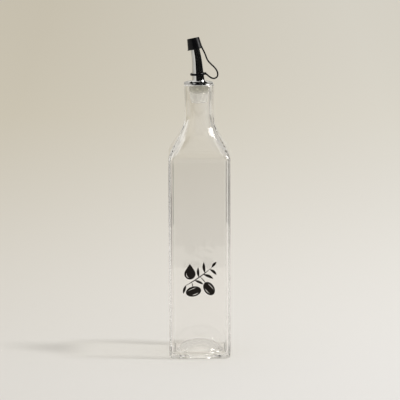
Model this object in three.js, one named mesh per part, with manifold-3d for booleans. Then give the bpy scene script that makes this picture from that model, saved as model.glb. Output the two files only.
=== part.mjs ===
// Clear square oil bottle with a metal pouring spout, a plastic stopper under it and a tethered tip cap.
// Millimetres, +Z up. The origin is the middle of the base, and the printed front face looks along -Y.
import * as THREE from 'three';
import { mergeVertices } from 'three/addons/utils/BufferGeometryUtils.js';
import Module from 'manifold-3d';

const wasm = await Module();
wasm.setup();

// Driving dimensions of the bottle
const bodyHalf = 29;
const bodyCorner = 5;
const wall = 3;
const baseEdge = 3.5;
const restHalf = bodyHalf - baseEdge;
const puntRadius = 20.5;
const puntHeight = 9;
const floorEdgeHeight = 3.5;
const floorDomeHeight = 12.5;
const floorFillet = 4;
const shoulderBottom = 189.6;
const shoulderHandle = 10.2;
const neckBottom = 231;
const neckHandle = 20;
const neckRadius = 13.6;
const boreRadius = 9.6;
const innerShoulderSag = 1.6;
const finishBottom = 243;
const finishBlend = 9;
const finishRadius = 14.1;
const rimHeight = 258.6;
const rimRound = 1.6;
const boreRound = 0.8;

// Driving dimensions of the pourer
const gap = 0.3;
const flangeCentre = -0.5;
const flangeRadius = 13.9;
const flangeThickness = 0.9;
const flareOut = 4.6;
const flareUp = 2.4;
const spoutBaseRadius = 6.2;
const spoutTipRadius = 4.1;
const spoutTaperPower = 1.6;
const spoutWall = 0.9;
const bendTurn = THREE.MathUtils.degToRad(36);
const spoutLean = THREE.MathUtils.degToRad(4.5);
const tipLean = THREE.MathUtils.degToRad(12.4);
const bendHeight = 22;
const bendReach = 4.5;
const tipLength = 18;

// Driving dimensions of the stopper, the cap and its strap
const plugBottom = 241;
const plugCollarHeight = 6.6;
const plugGroove = 0.7;
const plugChannel = 4.3;
const plugToeRadius = 7.4;
const capLean = THREE.MathUtils.degToRad(14);
const capHeight = 10.8;
const capTopRadius = 5.75;
const capBottomRadius = 6.9;
const capLip = 0.6;
const capLipHeight = 1.1;
const capRoof = 1.5;
const capAboveTip = 0.5;
const capRound = 0.6;
const capGap = 0.55;
const ringHeight = 1.9;
const ringRadius = 7.2;
const ringRound = 0.35;
const ringDistance = 8;
const lugRadius = 1.25;
const lugRise = 0.4;
const strapRadius = 0.72;
// The strap's route from the cap's lower edge, out and down, and back up to the ring
const strapRoute = [
  [2.2, 2.2, 293.7], [3.1, 2.1, 291.6], [4.5, 2, 288.9], [6, 1.8, 285.6], [7.1, 1.6, 282.5],
  [8.8, 1.4, 279.4], [11.4, 1.2, 276.6], [14.5, 1.1, 273.6], [16.7, 0.9, 270.4], [17.5, 0.8, 267.6],
  [17.1, 0.7, 265], [14.7, 0.6, 263.3], [11.9, 0.6, 263.6], [9.4, 0.5, 265.2], [7.4, 0.5, 266.9],
  [5.8, 0.5, 267.8],
];

// Driving dimensions of the print on the front face
const inkThickness = 0.15;
const printCentreHeight = 77;

const materials = {
  clear: new THREE.MeshStandardMaterial({ color: 0xe9ebe6, roughness: 0.05, metalness: 0, transparent: true,
    opacity: 0.35 }),
  chrome: new THREE.MeshStandardMaterial({ color: 0xc9cbcd, roughness: 0.12, metalness: 1 }),
  stopper: new THREE.MeshStandardMaterial({ color: 0xd8d5cc, roughness: 0.45, metalness: 0 }),
  rubber: new THREE.MeshStandardMaterial({ color: 0x15161a, roughness: 0.4, metalness: 0 }),
  ink: new THREE.MeshStandardMaterial({ color: 0x17100a, roughness: 0.5, metalness: 0 }),
};

// A closed skin over rings of equal length. With two end points the first and last ring close on them,
// and without any the last ring joins the first.
function skin(rings, firstPoint, lastPoint) {
  const count = rings[0].length;
  const points = rings.flat();
  const triangles = [];
  const strips = firstPoint ? rings.length - 1 : rings.length;
  for (let i = 0; i < strips; i++) {
    const low = i * count;
    const high = ((i + 1) % rings.length) * count;
    for (let j = 0; j < count; j++) {
      const k = (j + 1) % count;
      triangles.push(low + j, low + k, high + k, low + j, high + k, high + j);
    }
  }
  if (firstPoint) {
    const first = points.push(firstPoint) - 1;
    const last = points.push(lastPoint) - 1;
    const top = (rings.length - 1) * count;
    for (let j = 0; j < count; j++) {
      const k = (j + 1) % count;
      triangles.push(first, k, j, last, top + j, top + k);
    }
  }
  const geometry = new THREE.BufferGeometry();
  geometry.setAttribute('position', new THREE.Float32BufferAttribute(points.flatMap((p) => p.toArray()), 3));
  geometry.setIndex(triangles);
  geometry.computeVertexNormals();
  return geometry;
}

function toSolid(geometry) {
  const bare = geometry.clone();
  bare.deleteAttribute('normal');
  bare.deleteAttribute('uv');
  const merged = mergeVertices(bare);
  const vertProperties = new Float32Array(merged.getAttribute('position').array);
  const triVerts = new Uint32Array(merged.getIndex().array);
  return new wasm.Manifold(new wasm.Mesh({ numProp: 3, vertProperties, triVerts }));
}

function toGeometry(solid) {
  const mesh = solid.getMesh();
  const geometry = new THREE.BufferGeometry();
  geometry.setAttribute('position', new THREE.Float32BufferAttribute(mesh.vertProperties, 3));
  geometry.setIndex(new THREE.Uint32BufferAttribute(mesh.triVerts, 1));
  geometry.computeVertexNormals();
  return geometry;
}

const mix = THREE.MathUtils.lerp;

// Directions round a section: even steps along the flat sides, and finer ones round the body's corners
function sectionAngles() {
  const sideSteps = 4;
  const cornerSteps = 6;
  const centre = bodyHalf - bodyCorner;
  const cornerStart = Math.atan2(centre, bodyHalf);
  const angles = [];
  for (let quarter = 0; quarter < 4; quarter++) {
    const start = (quarter * Math.PI) / 2;
    for (let i = 0; i < sideSteps; i++) angles.push(start + (cornerStart * i) / sideSteps);
    for (let i = 0; i < cornerSteps; i++) {
      const turn = (i / cornerSteps) * (Math.PI / 2);
      const across = centre + bodyCorner * Math.cos(turn);
      const along = centre + bodyCorner * Math.sin(turn);
      angles.push(start + Math.atan2(along, across));
    }
    for (let i = 0; i < sideSteps; i++) {
      angles.push(start + Math.PI / 2 - cornerStart + (cornerStart * i) / sideSteps);
    }
  }
  return angles;
}

const angles = sectionAngles();

// A square section with round corners, which is a circle once the corner radius equals the half width
function squareRing(half, corner, z) {
  const centre = half - corner;
  return angles.map((angle) => {
    const c = Math.abs(Math.cos(angle));
    const s = Math.abs(Math.sin(angle));
    let reach = half / Math.max(c, s);
    if (reach * Math.min(c, s) > centre) {
      const along = centre * (c + s);
      reach = along + Math.sqrt(along * along - 2 * centre * centre + corner * corner);
    }
    return new THREE.Vector3(reach * Math.cos(angle), reach * Math.sin(angle), z);
  });
}

const roundRing = (radius, z) => squareRing(radius, radius, z);

// The shoulder's profile from the body, at 0, to the neck, at 1: the height, and the share of the way in
function shoulder(t) {
  const weights = [(1 - t) ** 3, 3 * t * (1 - t) ** 2, 3 * t * t * (1 - t), t ** 3];
  const heights = [shoulderBottom, shoulderBottom + shoulderHandle, neckBottom - neckHandle, neckBottom];
  const z = weights.reduce((sum, weight, i) => sum + weight * heights[i], 0);
  return { z, share: weights[2] + weights[3] };
}

// Rounding between two directions, as offsets from its centre
function rounding(radius, fromDegrees, toDegrees, steps) {
  return Array.from({ length: steps + 1 }, (_, i) => {
    const turn = THREE.MathUtils.degToRad(mix(fromDegrees, toDegrees, i / steps));
    return { out: radius * Math.cos(turn), up: radius * Math.sin(turn) };
  });
}

function bottleGeometry() {
  const rings = [];
  const domeSteps = 5;
  for (let i = 1; i <= domeSteps; i++) {
    const turn = (i / domeSteps) * (Math.PI / 2);
    rings.push(roundRing(puntRadius * Math.sin(turn), puntHeight * Math.cos(turn)));
  }
  for (const { out, up } of rounding(baseEdge, -90, 0, 4)) {
    rings.push(squareRing(restHalf + out, bodyCorner - baseEdge + out, baseEdge + up));
  }
  const shoulderSteps = 12;
  for (let i = 0; i <= shoulderSteps; i++) {
    const { z, share } = shoulder(i / shoulderSteps);
    const half = mix(bodyHalf, neckRadius, share);
    rings.push(squareRing(half, mix(bodyCorner, half, share), z));
  }
  rings.push(roundRing(neckRadius, finishBottom));
  for (const rise of [0.35, 0.65, 1]) {
    const swell = rise * rise * (3 - 2 * rise);
    rings.push(roundRing(mix(neckRadius, finishRadius, swell), finishBottom + finishBlend * rise));
  }
  for (const { out, up } of rounding(rimRound, 0, 90, 4)) {
    rings.push(roundRing(finishRadius - rimRound + out, rimHeight - rimRound + up));
  }
  for (const { out, up } of rounding(boreRound, 90, 180, 2)) {
    rings.push(roundRing(boreRadius + boreRound + out, rimHeight - boreRound + up));
  }
  const innerHalf = bodyHalf - wall;
  const innerCorner = bodyCorner - wall;
  for (let i = shoulderSteps; i >= 0; i--) {
    const t = i / shoulderSteps;
    const { z, share } = shoulder(t);
    const half = mix(innerHalf, boreRadius, share);
    rings.push(squareRing(half, mix(innerCorner, half, share), z - innerShoulderSag * 4 * t * (1 - t)));
  }
  const floorCorner = innerHalf - floorFillet;
  for (const { out, up } of rounding(floorFillet, 0, -90, 4)) {
    rings.push(squareRing(floorCorner + out, innerCorner, floorEdgeHeight + floorFillet + up));
  }
  for (let i = domeSteps - 1; i >= 1; i--) {
    const turn = (i / domeSteps) * (Math.PI / 2);
    const height = mix(floorEdgeHeight, floorDomeHeight, Math.cos(turn));
    rings.push(roundRing(puntRadius * Math.sin(turn), height));
  }
  const puntTop = new THREE.Vector3(0, 0, puntHeight);
  const floorTop = new THREE.Vector3(0, 0, floorDomeHeight);
  return skin(rings, puntTop, floorTop);
}

// The spout's axis: straight up from the flange with a slight lean, then a bend and a straight run to the tip.
// Both leans are in one upright plane, turned back from -X towards +Y.
const flangeTop = rimHeight + flangeThickness;
const up = new THREE.Vector3(0, 0, 1);

function leanTo(lean) {
  const side = Math.sin(lean);
  return new THREE.Vector3(-side * Math.cos(bendTurn), side * Math.sin(bendTurn), Math.cos(lean));
}

const spoutStart = new THREE.Vector3(flangeCentre, 0, flangeTop);
const bendMiddle = spoutStart.clone().addScaledVector(leanTo(spoutLean), bendHeight);
const bendStart = bendMiddle.clone().addScaledVector(leanTo(spoutLean), -bendReach);
const bendEnd = bendMiddle.clone().addScaledVector(leanTo(tipLean), bendReach);
const spoutTip = bendMiddle.clone().addScaledVector(leanTo(tipLean), tipLength);
const spoutAxis = new THREE.CurvePath();
spoutAxis.add(new THREE.LineCurve3(spoutStart, bendStart));
spoutAxis.add(new THREE.QuadraticBezierCurve3(bendStart, bendMiddle, bendEnd));
spoutAxis.add(new THREE.LineCurve3(bendEnd, spoutTip));
const spoutLength = spoutAxis.getLength();
const spoutRadius = (t) => mix(spoutTipRadius, spoutBaseRadius, (1 - t) ** spoutTaperPower);

// A circle round a centre, square to a direction
function ringAcross(centre, direction, radius, sides) {
  const tilt = new THREE.Quaternion().setFromUnitVectors(up, direction);
  return Array.from({ length: sides }, (_, i) => {
    const angle = (i / sides) * 2 * Math.PI;
    const point = new THREE.Vector3(radius * Math.cos(angle), radius * Math.sin(angle), 0);
    return point.applyQuaternion(tilt).add(centre);
  });
}

function pourerGeometry() {
  const sides = 36;
  const flat = (radius, z) => ringAcross(new THREE.Vector3(flangeCentre, 0, z), up, radius, sides);
  const along = (t, radius) => ringAcross(spoutAxis.getPointAt(t), spoutAxis.getTangentAt(t), radius, sides);
  const rings = [flat(spoutBaseRadius - spoutWall, rimHeight)];
  const edge = flangeThickness / 2;
  for (const { out, up: rise } of rounding(edge, -90, 90, 4)) {
    rings.push(flat(flangeRadius - edge + out, rimHeight + edge + rise));
  }
  for (const { out, up: rise } of rounding(1, -90, -180, 5).slice(0, -1)) {
    rings.push(flat(spoutBaseRadius + flareOut * (1 + out), flangeTop + flareUp * (1 + rise)));
  }
  const steps = 13;
  const firstStep = flareUp / spoutLength;
  const stations = Array.from({ length: steps + 1 }, (_, i) => mix(firstStep, 1, i / steps));
  rings.push(...stations.map((t) => along(t, spoutRadius(t))));
  rings.push(...stations.reverse().map((t) => along(t, spoutRadius(t) - spoutWall)));
  return skin(rings);
}

function plugGeometry() {
  const plugRadius = boreRadius - gap;
  const collarBottom = rimHeight - plugCollarHeight;
  const toe = 1;
  const profile = [
    [plugChannel, plugBottom],
    [plugToeRadius - toe, plugBottom],
    [plugToeRadius, plugBottom + toe],
    [plugRadius - plugGroove / 2, collarBottom - 2 * plugGroove],
    [plugRadius - plugGroove, collarBottom - plugGroove],
    [plugRadius, collarBottom],
    [plugRadius, rimHeight],
    [plugChannel, rimHeight],
    [plugChannel, plugBottom],
  ];
  const geometry = new THREE.LatheGeometry(profile.map(([r, z]) => new THREE.Vector2(r, z)), 40);
  return geometry.rotateX(Math.PI / 2);
}

// The tip cap is a cup over the spout's end, square to its own slight lean
function capSolid() {
  const sides = 32;
  const top = capAboveTip + capRoof;
  const mouth = top - capHeight;
  const lipRound = 0.3;
  const mouthOverrun = 1;
  const axis = leanTo(capLean);
  const centre = (height) => spoutTip.clone().addScaledVector(axis, height);
  const ring = (height, radius) => ringAcross(centre(height), axis, radius, sides);
  const cavityRadius = (height) => spoutRadius(1 + height / spoutLength) + capGap;
  const outside = [
    ring(mouth, capBottomRadius + capLip - lipRound),
    ring(mouth + lipRound, capBottomRadius + capLip),
    ring(mouth + capLipHeight, capBottomRadius),
  ];
  for (const { out, up: rise } of rounding(capRound, 0, 90, 3)) {
    outside.push(ring(top - capRound + rise, capTopRadius - capRound + out));
  }
  const cavity = [
    ring(mouth - mouthOverrun, cavityRadius(mouth)),
    ring(mouth, cavityRadius(mouth)),
    ring(capAboveTip, cavityRadius(0)),
  ];
  const cup = toSolid(skin(outside, centre(mouth), centre(top)));
  return cup.subtract(toSolid(skin(cavity, centre(mouth - mouthOverrun), centre(capAboveTip))));
}

function strapSolid() {
  const path = new THREE.CatmullRomCurve3(strapRoute.map((point) => new THREE.Vector3(...point)));
  const section = new THREE.Shape();
  section.absarc(0, 0, strapRadius, 0, 2 * Math.PI);
  return toSolid(new THREE.ExtrudeGeometry(section, { steps: 44, curveSegments: 5, extrudePath: path }));
}

// The strap's ring sits round the lower spout, with a small lug where the strap joins it
function ringSolid() {
  const sides = 32;
  const centre = spoutAxis.getPointAt(ringDistance / spoutLength);
  const axis = leanTo(spoutLean);
  const half = ringHeight / 2;
  const bore = spoutRadius((ringDistance - half) / spoutLength) + gap;
  const level = (height, radius) => {
    const middle = centre.clone().addScaledVector(axis, height);
    return ringAcross(middle, axis, radius, sides);
  };
  const rings = [
    level(-half, bore),
    level(-half, ringRadius - ringRound),
    level(ringRound - half, ringRadius),
    level(half - ringRound, ringRadius),
    level(half, ringRadius - ringRound),
    level(half, bore),
  ];
  const lug = new THREE.SphereGeometry(lugRadius, 14, 8);
  lug.translate(centre.x + ringRadius - ringRound, centre.y, centre.z + lugRise);
  return toSolid(skin(rings)).add(toSolid(lug));
}

const tetheredCap = () => toGeometry(capSolid().add(strapSolid()).add(ringSolid()));

// A thin plate of ink on the front face. X runs across the print and Y up it, from the print's centre.
const bladeSegments = 8;
const roundSegments = 14;

function inkSolid(shape, curveSegments) {
  const plate = new THREE.ExtrudeGeometry(shape, { depth: inkThickness, bevelEnabled: false, curveSegments });
  plate.rotateX(Math.PI / 2);
  plate.translate(0, -bodyHalf, printCentreHeight);
  return toSolid(plate);
}

// A blade between two points, bowed to its left, which serves for leaves, stems and highlights
function blade([x0, y0], [x1, y1], bow, halfWidth) {
  const length = Math.hypot(x1 - x0, y1 - y0);
  const left = [(y0 - y1) / length, (x1 - x0) / length];
  const middle = [(x0 + x1) / 2, (y0 + y1) / 2];
  const handle = (offset) => middle.map((value, axis) => value + 2 * offset * left[axis]);
  const shape = new THREE.Shape();
  shape.moveTo(x0, y0);
  shape.quadraticCurveTo(...handle(bow - halfWidth), x1, y1);
  shape.quadraticCurveTo(...handle(bow + halfWidth), x0, y0);
  return inkSolid(shape, bladeSegments);
}

// Two bare streaks on each olive, placed by shares of its half length and half width
const oliveStreaks = [
  { from: [-0.72, 0.3], to: [0.5, 0.62], bow: 0.4, halfWidth: 0.22 },
  { from: [-0.3, -0.66], to: [0.62, -0.42], bow: -0.4, halfWidth: 0.3 },
];

function olive(x, y, length, width, degrees) {
  const turn = THREE.MathUtils.degToRad(degrees);
  const along = [Math.cos(turn), Math.sin(turn)];
  const across = [-along[1], along[0]];
  const at = ([a, b]) => [
    x + (a * along[0] * length + b * across[0] * width) / 2,
    y + (a * along[1] * length + b * across[1] * width) / 2,
  ];
  const shape = new THREE.Shape();
  shape.absellipse(x, y, length / 2, width / 2, 0, 2 * Math.PI, false, turn);
  const streaks = oliveStreaks.map(({ from, to, bow, halfWidth }) => blade(at(from), at(to), bow, halfWidth));
  return streaks.reduce((whole, streak) => whole.subtract(streak), inkSolid(shape, roundSegments));
}

// An oil drop: a round belly whose sides draw up to a tip, with a bare streak low on the left.
// Handle and streak points are shares of the belly's radius from its centre.
const oilDrop = { x: -9.2, y: 5.6, radius: 5.3, tip: 15.4, shoulderDegrees: 25, handle: [0.55, 1.05] };
const dropStreak = { from: [-0.62, 0.2], to: [-0.08, -0.72], bow: -1.2, halfWidth: 0.3 };

function dropGeometry() {
  const { x, y, radius, tip, shoulderDegrees, handle } = oilDrop;
  const at = ([a, b]) => [x + a * radius, y + b * radius];
  const side = THREE.MathUtils.degToRad(shoulderDegrees);
  const shape = new THREE.Shape();
  shape.absarc(x, y, radius, Math.PI - side, side, false);
  shape.quadraticCurveTo(...at(handle), x, tip);
  shape.quadraticCurveTo(...at([-handle[0], handle[1]]), ...at([-Math.cos(side), Math.sin(side)]));
  const { from, to, bow, halfWidth } = dropStreak;
  const streak = blade(at(from), at(to), bow, halfWidth);
  return toGeometry(inkSolid(shape, roundSegments).subtract(streak));
}

// A twig that rises to the right, with leaves and two stalked olives that all start on it
const twig = { from: [-15.9, -7], to: [13, 13.4], bow: -1.2, halfWidth: 0.46 };

function onTwig(t) {
  const start = new THREE.Vector2(...twig.from);
  const end = new THREE.Vector2(...twig.to);
  const along = end.clone().sub(start).normalize();
  const handle = start.clone().lerp(end, 0.5);
  handle.add(new THREE.Vector2(-along.y, along.x).multiplyScalar(2 * twig.bow));
  return new THREE.QuadraticBezierCurve(start, handle, end).getPoint(t).toArray();
}

function sprigGeometry() {
  const leaves = [
    { t: 0.5, tip: [-1.4, 12], bow: 0.5, halfWidth: 1.25 },
    { t: 0.7, tip: [3.9, 16.9], bow: 0.5, halfWidth: 1.35 },
    { t: 0.93, tip: [15.9, 17.2], bow: 0.3, halfWidth: 1.2 },
    { t: 0.86, tip: [15.8, 4.6], bow: 0.6, halfWidth: 1.25 },
    { t: 0.64, tip: [12.8, 0.9], bow: 0.6, halfWidth: 1.35 },
    { t: 0.36, tip: [3.4, -4.4], bow: 0.4, halfWidth: 1.15 },
    { t: 0.1, tip: [-15.4, -13.4], bow: -0.4, halfWidth: 1.2 },
  ];
  const stalks = [
    { t: 0.27, tip: [-6.6, -8], bow: 0.3, halfWidth: 0.38 },
    { t: 0.53, tip: [5.8, -4], bow: 0.5, halfWidth: 0.38 },
  ];
  const solids = [blade(twig.from, twig.to, twig.bow, twig.halfWidth)];
  for (const { t, tip, bow, halfWidth } of [...leaves, ...stalks]) {
    solids.push(blade(onTwig(t), tip, bow, halfWidth));
  }
  solids.push(olive(-5.9, -11.2, 14.6, 9.6, 14), olive(8.7, -8.5, 13.8, 9.8, -58));
  return toGeometry(solids.reduce((whole, solid) => whole.add(solid)));
}

const group = new THREE.Group();

function place(name, geometry, material) {
  const mesh = new THREE.Mesh(geometry, material);
  mesh.name = name;
  group.add(mesh);
}

place('bottle', bottleGeometry(), materials.clear);
place('stopper_plug', plugGeometry(), materials.stopper);
place('pouring_spout', pourerGeometry(), materials.chrome);
place('tip_cap_with_strap', tetheredCap(), materials.rubber);
place('print_oil_drop', dropGeometry(), materials.ink);
place('print_leafy_sprig', sprigGeometry(), materials.ink);

export default group;
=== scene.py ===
# Clear square oil bottle with a bent metal pouring spout, a stopper and a small tethered cap.
# Piece sizes are in millimetres and become metres as each ring of a piece is placed.
# The studio's sizes are in metres.
import math

import bmesh
import bpy
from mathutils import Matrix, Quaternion, Vector


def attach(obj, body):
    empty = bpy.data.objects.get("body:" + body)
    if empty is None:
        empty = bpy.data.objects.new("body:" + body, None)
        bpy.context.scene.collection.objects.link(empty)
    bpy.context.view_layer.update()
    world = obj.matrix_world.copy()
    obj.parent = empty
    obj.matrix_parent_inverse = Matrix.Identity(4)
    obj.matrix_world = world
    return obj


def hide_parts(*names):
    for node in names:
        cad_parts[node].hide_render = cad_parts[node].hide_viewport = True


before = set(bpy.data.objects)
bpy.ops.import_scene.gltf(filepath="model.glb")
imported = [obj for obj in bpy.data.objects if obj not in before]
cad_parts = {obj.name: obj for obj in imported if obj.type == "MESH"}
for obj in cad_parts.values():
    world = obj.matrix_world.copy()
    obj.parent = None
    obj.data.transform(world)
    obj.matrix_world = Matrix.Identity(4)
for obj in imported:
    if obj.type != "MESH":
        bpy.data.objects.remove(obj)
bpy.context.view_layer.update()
mm = 0.001
weldDistance = 0.001 * mm
upright = Vector((0, 0, 1))
print("frame loaded")


def mix(a, b, share):
    return a + (b - a) * share


def deselectAll():
    if bpy.context.object and bpy.context.object.mode == "EDIT":
        bpy.ops.object.mode_set(mode="OBJECT")
    bpy.ops.object.select_all(action="DESELECT")


def selectOnly(piece):
    deselectAll()
    piece.select_set(True)
    bpy.context.view_layer.objects.active = piece


# An open circle is added, and its corners are set on the first ring of the piece.
# Each corner keeps its number through the extrusions, so every new ring is placed point by point.
def startRing(name, points):
    deselectAll()
    bpy.ops.mesh.primitive_circle_add(vertices=len(points), radius=10 * mm, fill_type="NOTHING")
    piece = bpy.context.object
    piece.name = piece.data.name = name
    bpy.ops.object.mode_set(mode="EDIT")
    shell = bmesh.from_edit_mesh(piece.data)
    number = shell.verts.layers.int.new("number")
    for index, corner in enumerate(shell.verts):
        corner[number] = index
        corner.co = points[index] * mm
    bmesh.update_edit_mesh(piece.data)
    return piece


def extrudeRing(piece, points):
    bpy.ops.mesh.extrude_region_move()
    shell = bmesh.from_edit_mesh(piece.data)
    number = shell.verts.layers.int["number"]
    for corner in shell.verts:
        if corner.select:
            corner.co = points[corner[number]] * mm
    bmesh.update_edit_mesh(piece.data)


# ends is "points" for a skin that closes on a point at both ends, or "ring" where it meets itself
def skin(name, rings, ends):
    piece = startRing(name, rings[0])
    for points in rings[1:]:
        extrudeRing(piece, points)
    if ends == "points":
        bpy.ops.mesh.merge(type="CENTER")
        selectRing(piece, 0, len(rings[0]))
        bpy.ops.mesh.merge(type="CENTER")
    bpy.ops.mesh.select_all(action="SELECT")
    bpy.ops.mesh.remove_doubles(threshold=weldDistance)
    bpy.ops.mesh.normals_make_consistent(inside=False)
    bpy.ops.object.mode_set(mode="OBJECT")
    piece.data.attributes.remove(piece.data.attributes["number"])
    return piece


def selectRing(piece, first, count):
    bpy.ops.mesh.select_all(action="DESELECT")
    shell = bmesh.from_edit_mesh(piece.data)
    shell.verts.ensure_lookup_table()
    for index in range(first, first + count):
        shell.verts[index].select = True
    shell.select_flush(True)
    bmesh.update_edit_mesh(piece.data)


def applyModifier(piece, kind, **settings):
    selectOnly(piece)
    bpy.ops.object.modifier_add(type=kind)
    modifier = piece.modifiers[-1]
    for key, value in settings.items():
        setattr(modifier, key, value)
    bpy.ops.object.modifier_apply(modifier=modifier.name)


# Smooth shading in which the large faces keep their own direction, so flats stay flat up to their rounding
def smooth(piece, sharpDegrees):
    selectOnly(piece)
    bpy.ops.object.shade_smooth_by_angle(angle=math.radians(sharpDegrees))
    applyModifier(piece, "WEIGHTED_NORMAL", mode="FACE_AREA", weight=50, keep_sharp=True)


def dress(piece, material, slotName, *nodes):
    piece.data.materials.clear()
    piece.data.materials.append(material)
    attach(piece, "root")
    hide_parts(*nodes)
    print(f"{piece.name}: {len(piece.data.polygons)} faces")


# Rounding between two directions, as offsets (out, up) from its centre
def rounding(radius, fromDegrees, toDegrees, steps):
    turns = [math.radians(mix(fromDegrees, toDegrees, i / steps)) for i in range(steps + 1)]
    return [(radius * math.cos(turn), radius * math.sin(turn)) for turn in turns]


# A circle round a centre, square to a direction
def ringAcross(centre, direction, radius, sides):
    tilt = upright.rotation_difference(direction)
    turns = [2 * math.pi * i / sides for i in range(sides)]
    return [centre + tilt @ Vector((radius * math.cos(a), radius * math.sin(a), 0)) for a in turns]


# Materials

def newMaterial(name):
    material = bpy.data.materials.new(name)
    material.use_nodes = True
    tree = material.node_tree
    return material, tree, tree.nodes["Principled BSDF"]


def noiseOn(tree, scale, detail, stretch=(1, 1, 1)):
    coordinates = tree.nodes.new("ShaderNodeTexCoord")
    mapping = tree.nodes.new("ShaderNodeMapping")
    mapping.inputs["Scale"].default_value = stretch
    noise = tree.nodes.new("ShaderNodeTexNoise")
    noise.inputs["Scale"].default_value = scale
    noise.inputs["Detail"].default_value = detail
    tree.links.new(coordinates.outputs["Object"], mapping.inputs["Vector"])
    tree.links.new(mapping.outputs["Vector"], noise.inputs["Vector"])
    return noise.outputs["Fac"]


def rampOf(tree, source, stops):
    ramp = tree.nodes.new("ShaderNodeValToRGB")
    elements = ramp.color_ramp.elements
    for index, (place, colour) in enumerate(stops):
        element = elements[index] if index < 2 else elements.new(place)
        element.position = place
        element.color = (*colour, 1)
    tree.links.new(source, ramp.inputs["Fac"])
    return ramp.outputs["Color"]


# With "To" it goes from low to high as the source goes from 0 to 1, and with "From" the other way round
def rangeOf(tree, source, low, high, side="To"):
    span = tree.nodes.new("ShaderNodeMapRange")
    span.inputs[f"{side} Min"].default_value = low
    span.inputs[f"{side} Max"].default_value = high
    tree.links.new(source, span.inputs["Value"])
    return span.outputs["Result"]


def axesOf(tree):
    axes = tree.nodes.new("ShaderNodeSeparateXYZ")
    tree.links.new(tree.nodes.new("ShaderNodeTexCoord").outputs["Object"], axes.inputs["Vector"])
    return axes.outputs


def blendOf(tree, share, first, second):
    blend = tree.nodes.new("ShaderNodeMixRGB")
    tree.links.new(share, blend.inputs["Fac"])
    tree.links.new(first, blend.inputs["Color1"])
    tree.links.new(second, blend.inputs["Color2"])
    return blend.outputs["Color"]


# The first surface where the share is 0, and the second where it is 1
def eitherOf(tree, share, first, second):
    either = tree.nodes.new("ShaderNodeMixShader")
    tree.links.new(share, either.inputs["Fac"])
    tree.links.new(first, either.inputs[1])
    tree.links.new(second, either.inputs[2])
    return either.outputs["Shader"]


def bumpOf(tree, source, height):
    bump = tree.nodes.new("ShaderNodeBump")
    bump.inputs["Strength"].default_value = 1
    bump.inputs["Distance"].default_value = height
    tree.links.new(source, bump.inputs["Height"])
    return bump.outputs["Normal"]


acrylicLook = {
    "colour": (0.99, 0.985, 0.978),
    "ior": 1.49,
    "smudges": {"scale": 90, "detail": 4},
    "roughness": (0.0, 0.02),
    "waves": {"scale": 38, "detail": 1, "stretch": (1, 1, 0.35)},      # slow unevenness left by the mould
    "waveHeight": 0.008 * mm,
    "shadowHeadOn": (0.973, 0.969, 0.955),     # what each face lets through to the floor, square to the light
    "shadowGrazing": (0.15, 0.125, 0.08),      # and where the light runs along it
    "grazingFrom": 0.6,
}


def acrylicMaterial():
    material, tree, shader = newMaterial("clearAcrylic")
    shader.inputs["Base Color"].default_value = (*acrylicLook["colour"], 1)
    shader.inputs["Transmission Weight"].default_value = 1
    shader.inputs["IOR"].default_value = acrylicLook["ior"]
    smudges = noiseOn(tree, **acrylicLook["smudges"])
    tree.links.new(rangeOf(tree, smudges, *acrylicLook["roughness"]), shader.inputs["Roughness"])
    waves = noiseOn(tree, **acrylicLook["waves"])
    tree.links.new(bumpOf(tree, waves, acrylicLook["waveHeight"]), shader.inputs["Normal"])
    # Rays from the floor and shadow rays go straight through, so the bottle's shadow is light.
    # It has darker lines where the shadow rays graze a face.
    facing = tree.nodes.new("ShaderNodeLayerWeight").outputs["Facing"]
    stops = [(acrylicLook["grazingFrom"], acrylicLook["shadowHeadOn"]), (1.0, acrylicLook["shadowGrazing"])]
    lines = tree.nodes.new("ShaderNodeBsdfTransparent")
    tree.links.new(rampOf(tree, facing, stops), lines.inputs["Color"])
    clear = tree.nodes.new("ShaderNodeBsdfTransparent")
    clear.inputs["Color"].default_value = (*acrylicLook["shadowHeadOn"], 1)
    rays = tree.nodes.new("ShaderNodeLightPath")
    surface = shader.outputs["BSDF"]
    for kind, through in (("Is Diffuse Ray", clear), ("Is Shadow Ray", lines)):
        surface = eitherOf(tree, rays.outputs[kind], surface, through.outputs["BSDF"])
    tree.links.new(surface, tree.nodes["Material Output"].inputs["Surface"])
    return material


stopperLook = {
    "cloud": {"scale": 180, "detail": 3},
    "plug": [(0.35, (0.95, 0.945, 0.92)), (0.65, (0.98, 0.975, 0.955))],
    "collar": (0.7, 0.69, 0.62),               # painted shade: the collar is darker where the flange above shades it
    "collarShadeHeights": (250 * mm, 253.5 * mm),   # where the plug's colour turns into the collar's painted shade
    "roughness": 0.42,
    "clear": 0.4,
    "ior": 1.2,
    "grain": {"scale": 1600, "detail": 3},
    "grainHeight": 0.02 * mm,
}


def stopperMaterial():
    material, tree, shader = newMaterial("milkyStopper")
    plug = rampOf(tree, noiseOn(tree, **stopperLook["cloud"]), stopperLook["plug"])
    # Painted shade: towards the rim the plug's colour turns into the collar's darker one, where the flange
    # above shades it.
    collar = tree.nodes.new("ShaderNodeRGB").outputs["Color"]
    collar.default_value = (*stopperLook["collar"], 1)
    rise = rangeOf(tree, axesOf(tree)["Z"], *stopperLook["collarShadeHeights"], "From")
    tree.links.new(blendOf(tree, rise, plug, collar), shader.inputs["Base Color"])
    shader.inputs["Roughness"].default_value = stopperLook["roughness"]
    shader.inputs["Transmission Weight"].default_value = stopperLook["clear"]
    shader.inputs["IOR"].default_value = stopperLook["ior"]
    grain = noiseOn(tree, **stopperLook["grain"])
    tree.links.new(bumpOf(tree, grain, stopperLook["grainHeight"]), shader.inputs["Normal"])
    return material


chromeLook = {
    "patches": {"scale": 140, "detail": 3},
    "colour": [(0.3, (0.62, 0.63, 0.64)), (0.6, (0.72, 0.73, 0.74))],      # from worn patches to bright ones
    "haze": {"scale": 260, "detail": 4},
    "roughness": (0.035, 0.11),
    "scratches": {"scale": 900, "detail": 2, "stretch": (1, 1, 0.06)},
    "scratchHeight": 0.004 * mm,
}


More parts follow.
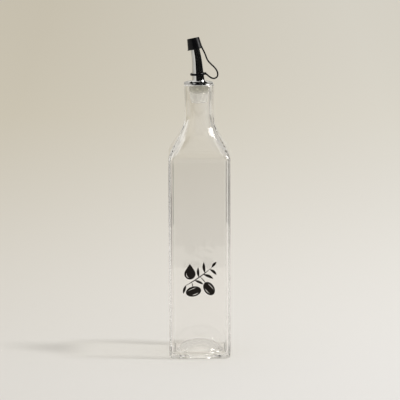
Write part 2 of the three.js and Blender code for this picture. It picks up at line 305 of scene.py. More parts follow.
def chromeMaterial():
    material, tree, shader = newMaterial("polishedSpoutMetal")
    shader.inputs["Metallic"].default_value = 1
    patches = noiseOn(tree, **chromeLook["patches"])
    tree.links.new(rampOf(tree, patches, chromeLook["colour"]), shader.inputs["Base Color"])
    haze = noiseOn(tree, **chromeLook["haze"])
    tree.links.new(rangeOf(tree, haze, *chromeLook["roughness"]), shader.inputs["Roughness"])
    scratches = noiseOn(tree, **chromeLook["scratches"])
    tree.links.new(bumpOf(tree, scratches, chromeLook["scratchHeight"]), shader.inputs["Normal"])
    return material


capLook = {
    "patches": {"scale": 220, "detail": 3},
    "colour": [(0.4, (0.002, 0.002, 0.003)), (0.75, (0.005, 0.005, 0.007))],   # lighter where it is rubbed
    "haze": {"scale": 500, "detail": 3},
    "roughness": (0.26, 0.36),
    "gloss": 0.16,
    "grain": {"scale": 2600, "detail": 2},
    "grainHeight": 0.012 * mm,
}


def capMaterial():
    material, tree, shader = newMaterial("blackMoulding")
    patches = noiseOn(tree, **capLook["patches"])
    tree.links.new(rampOf(tree, patches, capLook["colour"]), shader.inputs["Base Color"])
    haze = noiseOn(tree, **capLook["haze"])
    tree.links.new(rangeOf(tree, haze, *capLook["roughness"]), shader.inputs["Roughness"])
    shader.inputs["Specular IOR Level"].default_value = capLook["gloss"]
    grain = noiseOn(tree, **capLook["grain"])
    tree.links.new(bumpOf(tree, grain, capLook["grainHeight"]), shader.inputs["Normal"])
    return material


inkLook = {
    "screen": {"scale": 1100, "detail": 4},
    "colour": [(0.45, (0.007, 0.004, 0.002)), (0.8, (0.016, 0.01, 0.007))],    # lighter where it is thin
    "roughness": (0.4, 0.6),
    "gloss": 0.25,
    "screenHeight": 0.006 * mm,
}


def inkMaterial():
    material, tree, shader = newMaterial("printedInk")
    screen = noiseOn(tree, **inkLook["screen"])
    tree.links.new(rampOf(tree, screen, inkLook["colour"]), shader.inputs["Base Color"])
    tree.links.new(rangeOf(tree, screen, *inkLook["roughness"]), shader.inputs["Roughness"])
    shader.inputs["Specular IOR Level"].default_value = inkLook["gloss"]
    tree.links.new(bumpOf(tree, screen, inkLook["screenHeight"]), shader.inputs["Normal"])
    return material


# Bottle

bottle = {
    "half": 29,
    "corner": 5,
    "wall": 3,
    "innerCorner": 2,
    "baseEdge": 3.5,
    "puntRadius": 20.5,
    "puntHeight": 9,
    "floorEdge": 3.5,
    "floorDome": 12.5,
    "floorFillet": 4,
    "shoulderBottom": 189.6,
    "shoulderHandle": 10.2,
    "neckBottom": 231,
    "neckHandle": 20,
    "neckRadius": 13.6,
    "boreRadius": 9.6,
    "innerShoulderSag": 1.6,
    "finishBottom": 243,
    "finishBlend": 9,
    "finishRadius": 14.1,
    "rim": 258.6,
    "rimRound": 1.6,
    "boreRound": 0.8,
    "sideSteps": 10,
    "cornerSteps": 24,
    "domeSteps": 14,
    "wallSteps": 8,
    "shoulderSteps": 36,
    "beadSteps": 6,
    "roundSteps": 8,
    "sharpDegrees": 60,
}


# Directions round a section: even steps along the flat sides, and finer ones round the body's corners
def sectionAngles():
    centre = bottle["half"] - bottle["corner"]
    cornerStart = math.atan2(centre, bottle["half"])
    side, corner = bottle["sideSteps"], bottle["cornerSteps"]
    angles = []
    for quarter in range(4):
        start = quarter * math.pi / 2
        angles += [start + cornerStart * i / side for i in range(side)]
        for i in range(corner):
            turn = i / corner * math.pi / 2
            across = centre + bottle["corner"] * math.cos(turn)
            along = centre + bottle["corner"] * math.sin(turn)
            angles.append(start + math.atan2(along, across))
        angles += [start + math.pi / 2 - cornerStart + cornerStart * i / side for i in range(side)]
    return angles


# A square section with round corners, which is a circle once the corner radius equals the half width
def squareRing(angles, half, corner, z):
    centre = half - corner
    points = []
    for angle in angles:
        across, along = abs(math.cos(angle)), abs(math.sin(angle))
        reach = half / max(across, along)
        if reach * min(across, along) > centre:
            reached = centre * (across + along)
            reach = reached + math.sqrt(reached**2 - 2 * centre**2 + corner**2)
        points.append(Vector((reach * math.cos(angle), reach * math.sin(angle), z)))
    return points


# The shoulder's profile from the body, at 0, to the neck, at 1: the height, and the share of the way in
def shoulder(t):
    weights = [(1 - t) ** 3, 3 * t * (1 - t) ** 2, 3 * t * t * (1 - t), t**3]
    low, high = bottle["shoulderBottom"], bottle["neckBottom"]
    heights = [low, low + bottle["shoulderHandle"], high - bottle["neckHandle"], high]
    return sum(w * h for w, h in zip(weights, heights)), weights[2] + weights[3]


def bottleRings():
    b = bottle
    angles = sectionAngles()
    dome, walls, shoulders = b["domeSteps"], b["wallSteps"], b["shoulderSteps"]

    def square(half, corner, z):
        return squareRing(angles, half, corner, z)

    def circle(radius, z):
        return squareRing(angles, radius, radius, z)

    rings = []
    for i in range(1, dome + 1):
        turn = i / dome * math.pi / 2
        rings.append(circle(b["puntRadius"] * math.sin(turn), b["puntHeight"] * math.cos(turn)))
    edge, rest = b["baseEdge"], b["half"] - b["baseEdge"]
    for out, up in rounding(edge, -90, 0, b["roundSteps"]):
        rings.append(square(rest + out, b["corner"] - edge + out, edge + up))
    for i in range(1, walls):
        rings.append(square(b["half"], b["corner"], mix(edge, b["shoulderBottom"], i / walls)))
    for i in range(shoulders + 1):
        z, share = shoulder(i / shoulders)
        half = mix(b["half"], b["neckRadius"], share)
        rings.append(square(half, mix(b["corner"], half, share), z))
    rings.append(circle(b["neckRadius"], b["finishBottom"]))
    for i in range(1, b["beadSteps"] + 1):                  # the bead that thickens the rim
        rise = i / b["beadSteps"]
        swell = rise * rise * (3 - 2 * rise)
        radius = mix(b["neckRadius"], b["finishRadius"], swell)
        rings.append(circle(radius, b["finishBottom"] + b["finishBlend"] * rise))
    for out, up in rounding(b["rimRound"], 0, 90, b["roundSteps"]):
        rings.append(circle(b["finishRadius"] - b["rimRound"] + out, b["rim"] - b["rimRound"] + up))
    for out, up in rounding(b["boreRound"], 90, 180, b["roundSteps"] // 2):
        rings.append(circle(b["boreRadius"] + b["boreRound"] + out, b["rim"] - b["boreRound"] + up))
    innerHalf = b["half"] - b["wall"]
    for i in range(shoulders, -1, -1):
        t = i / shoulders
        z, share = shoulder(t)
        half = mix(innerHalf, b["boreRadius"], share)
        sag = b["innerShoulderSag"] * 4 * t * (1 - t)
        rings.append(square(half, mix(b["innerCorner"], half, share), z - sag))
    fillet = b["floorFillet"]
    innerTop, innerBottom = b["shoulderBottom"], b["floorEdge"] + fillet
    for i in range(1, walls):
        rings.append(square(innerHalf, b["innerCorner"], mix(innerTop, innerBottom, i / walls)))
    for out, up in rounding(fillet, 0, -90, b["roundSteps"]):
        rings.append(square(innerHalf - fillet + out, b["innerCorner"], innerBottom + up))
    for i in range(dome - 1, 0, -1):
        turn = i / dome * math.pi / 2
        z = mix(b["floorEdge"], b["floorDome"], math.cos(turn))
        rings.append(circle(b["puntRadius"] * math.sin(turn), z))
    return rings


def makeBottle():
    piece = skin("bottleBody", bottleRings(), "points")
    smooth(piece, bottle["sharpDegrees"])
    dress(piece, acrylicMaterial(), "clear_body", "bottle")


# Pouring spout

spout = {
    "flangeCentre": -0.5,
    "flangeRadius": 13.9,
    "flangeThickness": 0.9,
    "flareOut": 4.6,
    "flareUp": 2.4,
    "baseRadius": 6.2,
    "tipRadius": 4.1,
    "taperPower": 1.6,
    "wall": 0.9,
    "turn": math.radians(36),      # the bend's upright plane, turned back from -X towards +Y
    "lean": math.radians(4.5),
    "tipLean": math.radians(12.4),
    "bendHeight": 22,
    "bendReach": 4.5,
    "tipLength": 18,
    "lip": 0.35,                   # how much of the wall the tip's rounded edge takes
    "lipShares": (0.3, 1),
    "sides": 72,
    "stations": 44,
    "axisSteps": 30,
    "edgeSteps": 12,
    "flareSteps": 16,
    "sharpDegrees": 50,
}


def leanTo(angle):
    side = math.sin(angle)
    return Vector((-side * math.cos(spout["turn"]), side * math.sin(spout["turn"]), math.cos(angle)))


# The spout's axis as short steps of (distance from the flange, point, direction)
def spoutAxis():
    start = Vector((spout["flangeCentre"], 0, bottle["rim"] + spout["flangeThickness"]))
    middle = start + leanTo(spout["lean"]) * spout["bendHeight"]
    bendStart = middle - leanTo(spout["lean"]) * spout["bendReach"]
    bendEnd = middle + leanTo(spout["tipLean"]) * spout["bendReach"]
    tip = middle + leanTo(spout["tipLean"]) * spout["tipLength"]
    count = spout["axisSteps"]
    shares = [i / count for i in range(count)]
    points = [start.lerp(bendStart, t) for t in shares]
    points += [bendStart.lerp(middle, t).lerp(middle.lerp(bendEnd, t), t) for t in shares]
    points += [bendEnd.lerp(tip, t) for t in [*shares, 1]]
    steps, run = [], 0
    for index, point in enumerate(points):
        before, after = points[max(index - 1, 0)], points[min(index + 1, len(points) - 1)]
        run += (point - before).length
        steps.append((run, point, (after - before).normalized()))
    return steps


axis = spoutAxis()
spoutLength = axis[-1][0]
spoutTip = axis[-1][1]


def alongSpout(distance):
    for (low, point, direction), (high, nextPoint, nextDirection) in zip(axis, axis[1:]):
        if distance <= high:
            share = (distance - low) / (high - low)
            return point.lerp(nextPoint, share), direction.lerp(nextDirection, share).normalized()
    return axis[-1][1], axis[-1][2]


def spoutRadius(distance):
    share = min(max(distance / spoutLength, 0), 1)
    return mix(spout["tipRadius"], spout["baseRadius"], (1 - share) ** spout["taperPower"])


def makeSpout():
    s = spout
    rim, top = bottle["rim"], bottle["rim"] + s["flangeThickness"]

    def flat(radius, z):
        return ringAcross(Vector((s["flangeCentre"], 0, z)), upright, radius, s["sides"])

    def across(distance, radius):
        point, direction = alongSpout(distance)
        return ringAcross(point, direction, radius, s["sides"])

    edge = s["flangeThickness"] / 2
    rings = [flat(s["baseRadius"] - s["wall"], rim)]
    for out, up in rounding(edge, -90, 90, s["edgeSteps"]):
        rings.append(flat(s["flangeRadius"] - edge + out, rim + edge + up))
    for out, up in rounding(1, -90, -180, s["flareSteps"])[:-1]:
        rings.append(flat(s["baseRadius"] + s["flareOut"] * (1 + out), top + s["flareUp"] * (1 + up)))
    count = s["stations"]
    stations = [mix(s["flareUp"], spoutLength, i / count) for i in range(count + 1)]
    rings += [across(d, spoutRadius(d)) for d in stations[:-1]]
    rings += [across(spoutLength, spoutRadius(spoutLength) - s["lip"] * share) for share in s["lipShares"]]
    rings += [across(d, spoutRadius(d) - s["wall"]) for d in reversed(stations)]
    rings.append(rings[0])
    piece = skin("pouringSpout", rings, "ring")
    smooth(piece, s["sharpDegrees"])
    dress(piece, chromeMaterial(), "spout_metal", "pouring_spout")


# Stopper

stopper = {
    "gap": 0.3,
    "bottom": 241,
    "collarHeight": 6.6,
    "groove": 0.7,
    "waistLedge": 0.3,
    "edge": 0.2,
    "channel": 4.3,
    "toeRadius": 7.4,
    "toe": 1,
    "sides": 64,
    "toeSteps": 6,
    "grooveSteps": 10,
    "sharpDegrees": 40,
}


def makeStopper():
    p = stopper
    radius = bottle["boreRadius"] - p["gap"]
    rim, collar = bottle["rim"], bottle["rim"] - p["collarHeight"]

    def circle(r, z):
        return ringAcross(Vector((0, 0, z)), upright, r, p["sides"])

    rings = [circle(p["channel"], p["bottom"]), circle(p["toeRadius"] - p["toe"], p["bottom"])]
    for out, up in rounding(p["toe"], -90, 0, p["toeSteps"])[1:]:
        rings.append(circle(p["toeRadius"] - p["toe"] + out, p["bottom"] + p["toe"] + up))
    waist, waistRadius = collar - 2 * p["groove"], radius - p["groove"] / 2
    rings.append(circle(waistRadius, waist - p["waistLedge"]))
    rings.append(circle(waistRadius, waist))
    for out, up in rounding(p["groove"], -90, -270, p["grooveSteps"]):      # the groove under the collar
        rings.append(circle(waistRadius + out / 2, collar - p["groove"] + up))
    rings.append(circle(radius, collar + p["edge"]))
    rings.append(circle(radius, rim - p["edge"]))
    rings.append(circle(radius - p["edge"], rim))
    rings.append(circle(p["channel"], rim))
    rings.append(rings[0])
    piece = skin("stopperPlug", rings, "ring")
    smooth(piece, p["sharpDegrees"])
    dress(piece, stopperMaterial(), "stopper", "stopper_plug")


# Tip cap, strap and ring

cap = {
    "lean": math.radians(14),
    "height": 10.77,
    "topRadius": 5.75,
    "bottomRadius": 6.9,
    "sideShares": (0.33, 0.66),    # how far down the side its rings between the ends stand
    "lip": 0.6,
    "lipHeight": 1.1,
    "lipRound": 0.3,
    "lipShares": (0.66, 0.33),
    "roof": 1.47,
    "aboveTip": 0.5,
    "round": 0.6,
    "gap": 0.55,
    "mouthEdge": 0.2,
    "cavityEdge": 0.3,
    "middle": 0.3,                 # the smallest ring round the middle of the top and of the cavity's roof
    "topShare": 0.6,
    "sides": 64,
    "roundSteps": 8,
    "lipSteps": 6,
    "sharpDegrees": 50,
}

strap = {
    "radius": 0.72,
    "sides": 16,
    "stepsPerSpan": 8,
    "ringDistance": 8,
    "ringHeight": 1.9,
    "ringRadius": 7.2,
    "ringRound": 0.35,
    "ringGap": 0.3,
    "ringSides": 64,
    "ringSteps": 6,
    "ringSharpDegrees": 50,
    "endSwell": 0.35,              # how much thicker the strap gets where it joins, and over how many steps
    "endSteps": 5,
    "sharpDegrees": 70,
    "lugRadius": 1.25,
    "lugRise": 0.4,
    "lugDirection": (1, 0, -0.35),
    "lugSides": 32,
    # the boss in shares of its radius, along it and across it
    "lugShape": [
        (-1, 0.2), (-0.8, 0.62), (-0.4, 0.93), (0, 1), (0.4, 0.93), (0.75, 0.75), (1, 0.58), (1.15, 0.3),
    ],
    # from the cap's lower edge, out and down, and back up to the ring
    "route": [
        (2.2, 2.2, 293.7), (3.1, 2.1, 291.6), (4.5, 2, 288.9), (6, 1.8, 285.6), (7.1, 1.6, 282.5),
        (8.8, 1.4, 279.4), (11.4, 1.2, 276.6), (14.5, 1.1, 273.6), (16.7, 0.9, 270.4), (17.5, 0.8, 267.6),
        (17.1, 0.7, 265), (14.7, 0.6, 263.3), (11.9, 0.6, 263.6), (9.4, 0.5, 265.2), (7.4, 0.5, 266.9),
        (5.8, 0.5, 267.8),
    ],
}


def makeCap(material):
    c = cap
    direction = leanTo(c["lean"])
    top = c["aboveTip"] + c["roof"]
    mouth = top - c["height"]

    def level(height, radius):
        return ringAcross(spoutTip + direction * height, direction, radius, c["sides"])

    def cavity(height):
        return spoutRadius(spoutLength + height) + c["gap"]

    rings = [level(top, c["middle"]), level(top, c["topRadius"] * c["topShare"])]
    for out, up in reversed(rounding(c["round"], 0, 90, c["roundSteps"])):
        rings.append(level(top - c["round"] + up, c["topRadius"] - c["round"] + out))
    for share in c["sideShares"]:
        rings.append(level(mix(top - c["round"], mouth + c["lipHeight"], share),
                           mix(c["topRadius"], c["bottomRadius"], share)))
    rings.append(level(mouth + c["lipHeight"], c["bottomRadius"]))
    for rise in c["lipShares"]:
        radius = c["bottomRadius"] + c["lip"] * (1 - rise) ** 2
        rings.append(level(mouth + mix(c["lipRound"], c["lipHeight"], rise), radius))
    for out, up in rounding(c["lipRound"], 0, -90, c["lipSteps"]):
        rings.append(level(mouth + c["lipRound"] + up, c["bottomRadius"] + c["lip"] - c["lipRound"] + out))
    rings.append(level(mouth, cavity(mouth) + c["mouthEdge"]))
    rings.append(level(mouth + c["mouthEdge"], cavity(mouth)))
    rings.append(level(c["aboveTip"] - c["cavityEdge"], cavity(0)))
    rings.append(level(c["aboveTip"], cavity(0) - c["cavityEdge"]))
    rings.append(level(c["aboveTip"], c["middle"]))
    piece = skin("tipCap", rings, "points")
    smooth(piece, c["sharpDegrees"])
    dress(piece, material, "cap_black", "tip_cap_with_strap")


# A smooth line through the route's points, by centripetal Catmull-Rom spans
def strapLine():
    route = [Vector(point) for point in strap["route"]]
    knots = [route[0] * 2 - route[1], *route, route[-1] * 2 - route[-2]]
    line = []
    for a, b, c, d in zip(knots, knots[1:], knots[2:], knots[3:]):
        times = [0.0]
        for low, high in ((a, b), (b, c), (c, d)):
            times.append(times[-1] + math.sqrt((high - low).length))
        t0, t1, t2, t3 = times
        for i in range(strap["stepsPerSpan"]):
            t = mix(t1, t2, i / strap["stepsPerSpan"])
            ab = a.lerp(b, (t - t0) / (t1 - t0))
            bc = b.lerp(c, (t - t1) / (t2 - t1))
            cd = c.lerp(d, (t - t2) / (t3 - t2))
            abc = ab.lerp(bc, (t - t0) / (t2 - t0))
            bcd = bc.lerp(cd, (t - t1) / (t3 - t1))
            line.append(abc.lerp(bcd, (t - t1) / (t2 - t1)))
    line.append(route[-1])
    return line


def makeStrap(material):
    s = strap
    line = strapLine()
    last = len(line) - 1
    rings = []
    direction = (line[1] - line[0]).normalized()
    tilt = upright.rotation_difference(direction)
    turns = [2 * math.pi * i / s["sides"] for i in range(s["sides"])]
    for index, point in enumerate(line):
        ahead = (line[min(index + 1, last)] - line[max(index - 1, 0)]).normalized()
        tilt = direction.rotation_difference(ahead) @ tilt
        direction = ahead
        fromEnd = min(index, last - index)
        radius = s["radius"] * (1 + s["endSwell"] * math.exp(-fromEnd / s["endSteps"]))
        rings.append([point + tilt @ Vector((radius * math.cos(a), radius * math.sin(a), 0)) for a in turns])
    piece = skin("capStrap", rings, "points")
    smooth(piece, s["sharpDegrees"])
    dress(piece, material, "cap_black", "tip_cap_with_strap")


def makeStrapRing(material):
    s = strap
    centre, _ = alongSpout(s["ringDistance"])
    direction = leanTo(spout["lean"])
    half = s["ringHeight"] / 2
    bore = spoutRadius(s["ringDistance"] - half) + s["ringGap"]
    edge = s["ringRound"]

    def level(height, radius):
        return ringAcross(centre + direction * height, direction, radius, s["ringSides"])

    rings = [level(half, bore), level(-half, bore)]
    for out, up in rounding(edge, -90, 0, s["ringSteps"]):
        rings.append(level(edge - half + up, s["ringRadius"] - edge + out))
    for out, up in rounding(edge, 0, 90, s["ringSteps"]):
        rings.append(level(half - edge + up, s["ringRadius"] - edge + out))
    rings.append(rings[0])
    piece = skin("strapRing", rings, "ring")
    smooth(piece, s["ringSharpDegrees"])
    dress(piece, material, "cap_black", "tip_cap_with_strap")
    # the boss on the ring's side that the strap runs into
    lugCentre = centre + Vector((s["ringRadius"] - edge, 0, s["lugRise"]))
    along = Vector(s["lugDirection"]).normalized()
    lug = []
    for reach, share in s["lugShape"]:
        middle = lugCentre + along * reach * s["lugRadius"]
        lug.append(ringAcross(middle, along, share * s["lugRadius"], s["lugSides"]))
    boss = skin("strapBoss", lug, "points")
    smooth(boss, s["sharpDegrees"])
    dress(boss, material, "cap_black", "tip_cap_with_strap")


# Print on the front face. X runs across it and Z up it, from the print's centre.

ink = {
    "proud": 0.12,
    "sunk": 0.05,           # how far a plate reaches into the wall, so that no air shows between
    "cutPast": 0.5,         # how far a cutter reaches past the plate on both sides
    "centreHeight": 77,
    "bladeSteps": 12,
    "roundSteps": 36,
}

oilDrop = {
    "x": -9.2,
    "y": 5.6,
    "radius": 5.3,
    "tip": 15.4,
    "shoulder": math.radians(25),
    "handle": (0.55, 1.05),
}
dropStreak = {"from": (-0.62, 0.2), "to": (-0.08, -0.72), "bow": -1.2, "halfWidth": 0.3}

twig = {"from": (-15.9, -7), "to": (13, 13.4), "bow": -1.2, "halfWidth": 0.46}
leaves = [
    {"at": 0.5, "tip": (-1.4, 12), "bow": 0.5, "halfWidth": 1.25},
    {"at": 0.7, "tip": (3.9, 16.9), "bow": 0.5, "halfWidth": 1.35},
    {"at": 0.93, "tip": (15.9, 17.2), "bow": 0.3, "halfWidth": 1.2},
    {"at": 0.86, "tip": (15.8, 4.6), "bow": 0.6, "halfWidth": 1.25},
    {"at": 0.64, "tip": (12.8, 0.9), "bow": 0.6, "halfWidth": 1.35},
    {"at": 0.36, "tip": (3.4, -4.4), "bow": 0.4, "halfWidth": 1.15},
    {"at": 0.1, "tip": (-15.4, -13.4), "bow": -0.4, "halfWidth": 1.2},
]
stalks = [
    {"at": 0.27, "tip": (-6.6, -8), "bow": 0.3, "halfWidth": 0.38},
    {"at": 0.53, "tip": (5.8, -4), "bow": 0.5, "halfWidth": 0.38},
]
olives = [
    {"x": -5.9, "y": -11.2, "length": 14.6, "width": 9.6, "turn": math.radians(14)},
    {"x": 8.7, "y": -8.5, "length": 13.8, "width": 9.8, "turn": math.radians(-58)},
]
oliveStreaks = [
    {"from": (-0.72, 0.3), "to": (0.5, 0.62), "bow": 0.4, "halfWidth": 0.22},
    {"from": (-0.3, -0.66), "to": (0.62, -0.42), "bow": -0.4, "halfWidth": 0.3},
]


# extra makes a cutter deeper than the plate that it cuts
def inkPlate(name, outline, extra=0):
    front = -bottle["half"] - ink["proud"] - extra
    depth = ink["proud"] + ink["sunk"] + 2 * extra
    piece = startRing(name, [Vector((x, front, ink["centreHeight"] + y)) for x, y in outline])
    bpy.ops.mesh.edge_face_add()
    bpy.ops.mesh.extrude_region_move(TRANSFORM_OT_translate={"value": (0, depth * mm, 0)})
    bpy.ops.mesh.select_all(action="SELECT")
    bpy.ops.mesh.normals_make_consistent(inside=False)
    bpy.ops.object.mode_set(mode="OBJECT")
    piece.data.attributes.remove(piece.data.attributes["number"])
    return piece


def bow(start, handle, end, steps):
    points = []
    for i in range(steps):
        t = i / steps
        low = [mix(a, b, t) for a, b in zip(start, handle)]
        high = [mix(a, b, t) for a, b in zip(handle, end)]
        points.append(tuple(mix(a, b, t) for a, b in zip(low, high)))
    return points


def handleOf(start, end, offset):
    length = math.dist(start, end)
    left = ((start[1] - end[1]) / length, (end[0] - start[0]) / length)
    return tuple((a + b) / 2 + 2 * offset * side for a, b, side in zip(start, end, left))


# A blade between two points, bowed to its left, which serves for leaves, stems and streaks
def bladeOutline(start, end, bend, halfWidth):
    there = bow(start, handleOf(start, end, bend - halfWidth), end, ink["bladeSteps"])
    return there + bow(end, handleOf(start, end, bend + halfWidth), start, ink["bladeSteps"])


def onTwig(t):
    handle = handleOf(twig["from"], twig["to"], twig["bow"])
    low = [mix(a, b, t) for a, b in zip(twig["from"], handle)]
    high = [mix(a, b, t) for a, b in zip(handle, twig["to"])]
    return tuple(mix(a, b, t) for a, b in zip(low, high))


def join(piece, other, operation):
    applyModifier(piece, "BOOLEAN", object=other, operation=operation, solver="MANIFOLD")
    bpy.data.objects.remove(other)


def makeOilDrop(material):
    d = oilDrop
    centre, radius = (d["x"], d["y"]), d["radius"]

    def at(a, b):
        return centre[0] + a * radius, centre[1] + b * radius

    side, steps = d["shoulder"], ink["roundSteps"]
    outline = []
    for i in range(steps):
        turn = mix(math.pi - side, 2 * math.pi + side, i / steps)
        outline.append(at(math.cos(turn), math.sin(turn)))
    tip = (d["x"], d["tip"])
    across, up = d["handle"]
    outline += bow(at(math.cos(side), math.sin(side)), at(across, up), tip, ink["bladeSteps"])
    outline += bow(tip, at(-across, up), at(-math.cos(side), math.sin(side)), ink["bladeSteps"])
    piece = inkPlate("printOilDrop", outline)
    start, end = at(*dropStreak["from"]), at(*dropStreak["to"])
    streak = bladeOutline(start, end, dropStreak["bow"], dropStreak["halfWidth"])
    join(piece, inkPlate("streak", streak, ink["cutPast"]), "DIFFERENCE")
    dress(piece, material, "print_ink", "print_oil_drop")


def makeOlive(olive):
    along = (math.cos(olive["turn"]), math.sin(olive["turn"]))
    across = (-along[1], along[0])

    def at(a, b):
        a, b = a * olive["length"] / 2, b * olive["width"] / 2
        return olive["x"] + a * along[0] + b * across[0], olive["y"] + a * along[1] + b * across[1]

    turns = [2 * math.pi * i / ink["roundSteps"] for i in range(ink["roundSteps"])]
    piece = inkPlate("olive", [at(math.cos(turn), math.sin(turn)) for turn in turns])
    for streak in oliveStreaks:
        outline = bladeOutline(at(*streak["from"]), at(*streak["to"]), streak["bow"], streak["halfWidth"])
        join(piece, inkPlate("streak", outline, ink["cutPast"]), "DIFFERENCE")
    return piece


def makeSprig(material):
    outline = bladeOutline(twig["from"], twig["to"], twig["bow"], twig["halfWidth"])
    piece = inkPlate("printLeafySprig", outline)
    for blade in leaves + stalks:
        outline = bladeOutline(onTwig(blade["at"]), blade["tip"], blade["bow"], blade["halfWidth"])
        join(piece, inkPlate("blade", outline), "UNION")
    for olive in olives:
        join(piece, makeOlive(olive), "UNION")
    dress(piece, material, "print_ink", "print_leafy_sprig")


# Studio

studio = {
    "floorHalf": 7.0,
    # The floor's colours are the pale paper's with painted light: lighter towards the lamps on the right,
    # darker and warmer to the back left.
    "nearFloorPaintedLight": [(0.0, (0.69, 0.68, 0.665)), (1.0, (0.75, 0.75, 0.76))],      # painted light: from left to right, lighter towards the lamps on the right
    "farFloorPaintedLight": [(0.0, (0.66, 0.625, 0.54)), (1.0, (0.772, 0.755, 0.705))],
    "paintedLightSideEdge": 0.25,                  # half the width over which the painted light on the floor brightens
    "paintedLightDepthEdges": (-0.1, 1.3),         # where the floor's painted light starts to turn, and where it has turned
    "lampColour": (1.0, 0.985, 0.96),
    "cardColour": (0.01, 0.01, 0.01),
    "worldHorizon": (0.82, 0.79, 0.72),
    "worldTop": (0.86, 0.84, 0.80),
    "worldStrength": 1.0,
}

# Towards each light from its target, the elevation above the floor and the turn from +X
lights = {
    # falls on the floor and throws the shadow
    "topWindow": {
        "target": 0.12, "elevation": 64.5, "azimuth": -8, "distance": 1.3,
        "size": (0.1, 0.1), "power": 5.0, "gloss": False,
    },
    # seen only in gloss and through the bottle, for the bright marks on the shoulder and the cap
    "sideWindow": {
        "target": 0.205, "elevation": 36, "azimuth": -2, "distance": 1.0,
        "size": (0.38, 0.4), "power": 7.4, "gloss": True,
    },
}


def stageFloor():
    deselectAll()
    bpy.ops.mesh.primitive_plane_add(size=2 * studio["floorHalf"], location=(0, 0, 0))
    floor = bpy.context.object
    floor.name = "paperFloor"
    material, tree, shader = newMaterial("palePaperPaintedLight")
    shader.inputs["Roughness"].default_value = 1
    shader.inputs["Specular IOR Level"].default_value = 0
    # Painted light: the floor is lighter to the right, where the lamps stand, and darker and warmer to the
    # back left.
    axes = axesOf(tree)
    sideways = rangeOf(tree, axes["X"], -studio["paintedLightSideEdge"], studio["paintedLightSideEdge"], "From")
    backwards = rangeOf(tree, axes["Y"], *studio["paintedLightDepthEdges"], "From")
    near, far = (rampOf(tree, sideways, studio[part]) for part in ("nearFloorPaintedLight", "farFloorPaintedLight"))
    tree.links.new(blendOf(tree, backwards, near, far), shader.inputs["Base Color"])
    floor.data.materials.append(material)


# Black cards stand round the set, as a photographer sets them to draw the edges of glass and polished metal.
# The camera, the floor and the shadows don't see them. Each runs from its low edge up by its rise.
# How dark it is depends on the ray that meets it: "gloss" for a reflection off the outside,
# and "mirrored" for one that was reflected inside the bottle's walls.
cards = {
    "rightCard": {
        "low": [(0.95, -1.6, 0.04), (0.95, 1.4, 0.04)], "rise": (0, 0, 1.56),
        "gloss": 1, "mirrored": 0.35,
    },
    "frontCard": {
        "low": [(-0.62, -0.8, 0.06), (0.55, -0.8, 0.06)], "rise": (0, 0, 0.84),
        "gloss": 1, "mirrored": 0.12,
    },
    "leftCard": {
        "low": [(-0.4, -0.3, 0), (-0.4, 0.5, 0)], "rise": (0, 0, 0.08),
        "gloss": 0.4, "mirrored": 0.65,
    },
    "backCard": {
        "low": [(-0.9, 1.2, 0.62), (0.8, 1.2, 0.62)], "rise": (0, 0, 0.98),
        "gloss": 1, "mirrored": 0.3,
    },
    "topCard": {
        "low": [(-0.9, 1.2, 1.6), (0.95, 1.2, 1.6)], "rise": (0, -2.0, 0),
        "gloss": 1, "mirrored": 0.12,
    },
    "lowCard": {
        "low": [(-1.2, -0.42, 0), (1.2, -0.42, 0)], "rise": (0, 0, 0.115),
        "gloss": 1, "mirrored": 0.88,
    },
    "discCard": {
        "low": [(-0.9, 1.2, 0.42), (0.8, 1.2, 0.42)], "rise": (0, 0, 0.2),
        "gloss": 0.38, "mirrored": 0.2,
    },
    "lowBackCard": {
        "low": [(-0.9, 1.19, 0.03), (0.8, 1.19, 0.03)], "rise": (0, 0, 0.39),
        "gloss": 0, "mirrored": 0.2,
    },
    "rightPost": {
        "low": [(0.282, 0.53, 0), (0.052, 0.598, 0)], "rise": (0, 0, 0.07),
        "gloss": 0, "mirrored": 0.12,
    },
    "leftPost": {
        "low": [(-0.282, 0.53, 0), (-0.052, 0.598, 0)], "rise": (0, 0, 0.07),
        "gloss": 0, "mirrored": 0.95,
    },
}


# 0 for a ray that hasn't met this kind of bounce, and 1 for one that has
def hasBounced(tree, rays, depth):
    once = tree.nodes.new("ShaderNodeMath")
    once.operation = "MINIMUM"
    once.inputs[1].default_value = 1
    tree.links.new(rays.outputs[depth], once.inputs[0])
    return once.outputs["Value"]


def cardMaterial(name, card):
    material, tree, shader = newMaterial(name)
    shader.inputs["Base Color"].default_value = (*studio["cardColour"], 1)
    shader.inputs["Roughness"].default_value = 1
    shader.inputs["Specular IOR Level"].default_value = 0
    clear = tree.nodes.new("ShaderNodeBsdfTransparent")
    rays = tree.nodes.new("ShaderNodeLightPath")
    inBottle = hasBounced(tree, rays, "Transmission Depth")
    strength = tree.nodes.new("ShaderNodeMath")
    strength.operation = "MULTIPLY"
    tree.links.new(hasBounced(tree, rays, "Glossy Depth"), strength.inputs[0])
    tree.links.new(rangeOf(tree, inBottle, card["gloss"], card["mirrored"]), strength.inputs[1])
    surface = eitherOf(tree, strength.outputs["Value"], clear.outputs["BSDF"], shader.outputs["BSDF"])
    tree.links.new(surface, tree.nodes["Material Output"].inputs["Surface"])
    return material


def stageCards():
    for name, card in cards.items():
        deselectAll()
        bpy.ops.mesh.primitive_plane_add(size=1, location=(0, 0, 0))
        board = bpy.context.object
        board.name = name
        low = [Vector(corner) for corner in card["low"]]
        high = [corner + Vector(card["rise"]) for corner in low]
        for corner, place in zip(board.data.vertices, low + high):
            corner.co = place
        board.data.materials.append(cardMaterial(name + "Black", card))
        board.visible_camera = board.visible_diffuse = board.visible_shadow = False


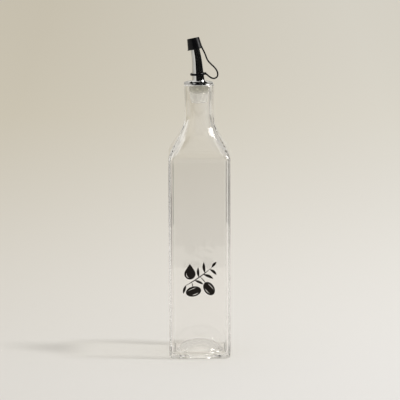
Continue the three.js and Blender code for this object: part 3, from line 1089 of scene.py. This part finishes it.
def setWorld():
    world = bpy.data.worlds.new("softRoom")
    world.use_nodes = True
    bpy.context.scene.world = world
    tree = world.node_tree
    background = tree.nodes["Background"]
    coordinates = tree.nodes.new("ShaderNodeTexCoord")
    axes = tree.nodes.new("ShaderNodeSeparateXYZ")
    tree.links.new(coordinates.outputs["Generated"], axes.inputs["Vector"])
    colour = rampOf(tree, axes.outputs["Z"], [(0.0, studio["worldHorizon"]), (1.0, studio["worldTop"])])
    tree.links.new(colour, background.inputs["Color"])
    background.inputs["Strength"].default_value = studio["worldStrength"]


def aimAt(item, target):
    item.rotation_mode = "QUATERNION"
    item.rotation_quaternion = (target - item.location).to_track_quat("-Z", "Y")


def setLights():
    for name, light in lights.items():
        elevation, azimuth = math.radians(light["elevation"]), math.radians(light["azimuth"])
        level = math.cos(elevation)
        towards = Vector((level * math.cos(azimuth), level * math.sin(azimuth), math.sin(elevation)))
        target = upright * light["target"]
        deselectAll()
        bpy.ops.object.light_add(type="AREA", location=target + towards * light["distance"])
        lamp = bpy.context.object
        lamp.name = name
        lamp.data.shape = "RECTANGLE"
        lamp.data.size, lamp.data.size_y = light["size"]
        lamp.data.energy = light["power"]
        lamp.data.color = studio["lampColour"]
        lamp.visible_camera = False
        lamp.visible_glossy = lamp.visible_transmission = light["gloss"]
        lamp.visible_diffuse = not light["gloss"]
        aimAt(lamp, target)


view = {
    "target": Vector((0.00052, 0, 0.1474)),
    "distance": 3.0,
    "elevation": math.radians(11.5),
    "roll": math.radians(-0.22),
    "frameWidth": 0.3766,      # width of the picture at the target
    "sensor": 36,
    "clipEnd": 100,
}


def setCamera():
    deselectAll()
    back = Vector((0, -math.cos(view["elevation"]), math.sin(view["elevation"])))
    bpy.ops.object.camera_add(location=view["target"] + back * view["distance"])
    camera = bpy.context.object
    camera.rotation_mode = "QUATERNION"
    aim = (-back).to_track_quat("-Z", "Y")
    camera.rotation_quaternion = aim @ Quaternion((0, 0, 1), view["roll"])
    camera.data.sensor_width = view["sensor"]
    camera.data.lens = view["sensor"] * view["distance"] / view["frameWidth"]
    camera.data.clip_end = view["clipEnd"]
    bpy.context.scene.camera = camera
    bpy.context.scene.view_settings.view_transform = "Standard"


# Light runs along inside the bottle's walls by many reflections, and would end black at the usual limits
def allowLongPaths():
    paths = bpy.context.scene.cycles
    paths.max_bounces = 40
    paths.transmission_bounces = 32
    paths.glossy_bounces = 32
    paths.transparent_max_bounces = 24


setCamera()
allowLongPaths()
print("camera set")
makeBottle()
makeStopper()
makeSpout()
blackMoulding = capMaterial()
makeCap(blackMoulding)
makeStrap(blackMoulding)
makeStrapRing(blackMoulding)
printedInk = inkMaterial()
makeOilDrop(printedInk)
makeSprig(printedInk)
print("pieces made")
stageFloor()
stageCards()
setWorld()
setLights()
print("studio set")
